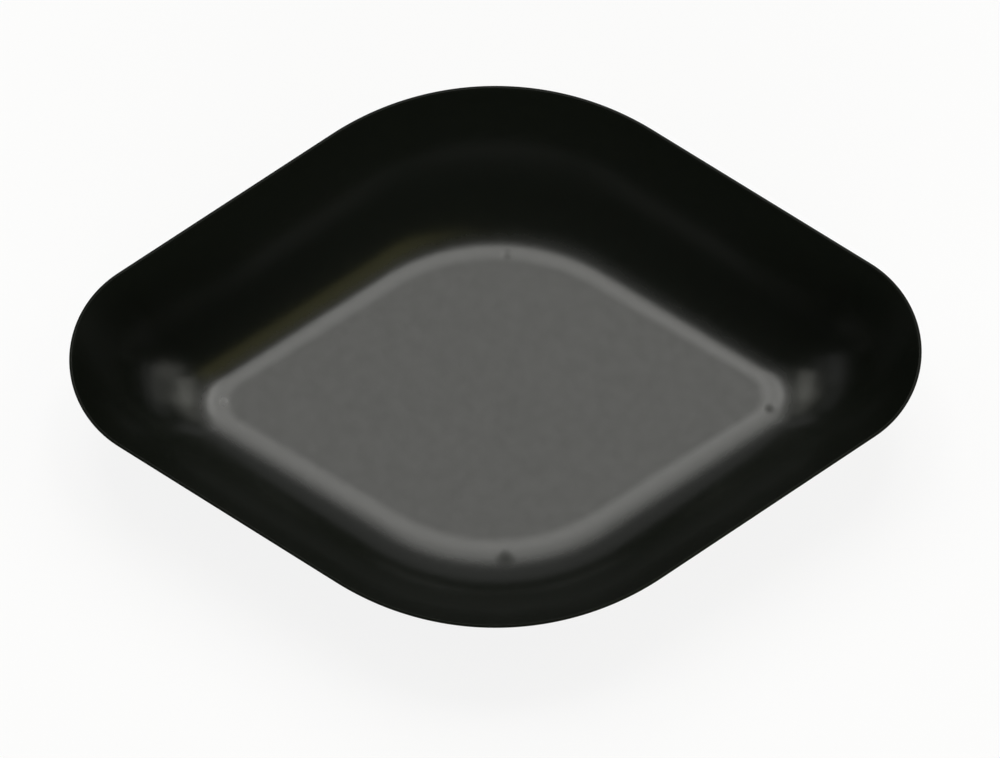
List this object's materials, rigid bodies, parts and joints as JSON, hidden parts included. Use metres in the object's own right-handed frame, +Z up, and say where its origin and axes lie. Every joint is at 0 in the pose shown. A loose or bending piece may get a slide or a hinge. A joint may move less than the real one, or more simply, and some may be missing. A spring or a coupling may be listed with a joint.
{
  "type": "weighing boat",
  "caption": "Diamond-shaped disposable weighing boat of thin black antistatic plastic, with a flat floor, smoothly curved walls and rounded pouring corners.",
  "frame": {"origin": "centre of the flat base, on the surface that the boat stands on", "axes": "+X along the long diagonal to a pouring corner, +Y along the short diagonal to a blunt corner, +Z up out of the open top"},
  "size_m": [0.0852, 0.0576, 0.0135],
  "materials": {
    "boat_plastic": "satin"
  },
  "bodies": {
    "root": {"boat": "boat_plastic"}
  },
  "joints": []
}
